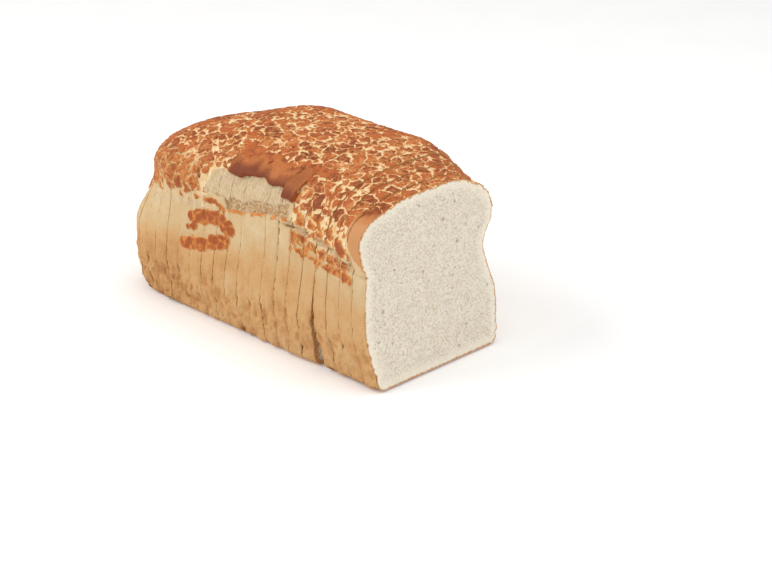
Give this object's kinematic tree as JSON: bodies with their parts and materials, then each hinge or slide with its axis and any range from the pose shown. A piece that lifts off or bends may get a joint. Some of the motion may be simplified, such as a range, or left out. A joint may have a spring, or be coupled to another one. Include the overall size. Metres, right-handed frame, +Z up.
{
  "type": "sliced tiger bread loaf",
  "caption": "Tin loaf with a crackled tiger crust, cut into slices that still stand together behind one cut crumb face; the front slices lean back on the rest.",
  "frame": {"origin": "middle of the loaf's box, on the surface it stands on", "axes": "+X along the loaf from the heel to the cut face, +Y towards the loaf's right side, +Z up"},
  "size_m": [0.2636, 0.124, 0.129],
  "materials": {
    "crust": "matte",
    "crumb": "matte"
  },
  "bodies": {
    "root": {"heel": "crust", "rear_slice_01": "crumb", "rear_slice_02": "crumb", "rear_slice_03": "crumb", "rear_slice_04": "crumb", "rear_slice_05": "crumb", "rear_slice_06": "crumb", "rear_slice_07": "crumb", "rear_slice_08": "crumb", "rear_slice_09": "crumb", "rear_slice_10": "crumb", "rear_slice_11": "crumb", "rear_slice_12": "crumb", "rear_slice_13": "crumb", "rear_slice_14": "crumb", "rear_slice_15": "crumb", "rear_slice_16": "crumb", "front_slice_1": "crumb", "front_slice_2": "crumb", "front_slice_3": "crumb", "front_slice_4": "crumb"}
  },
  "joints": []
}
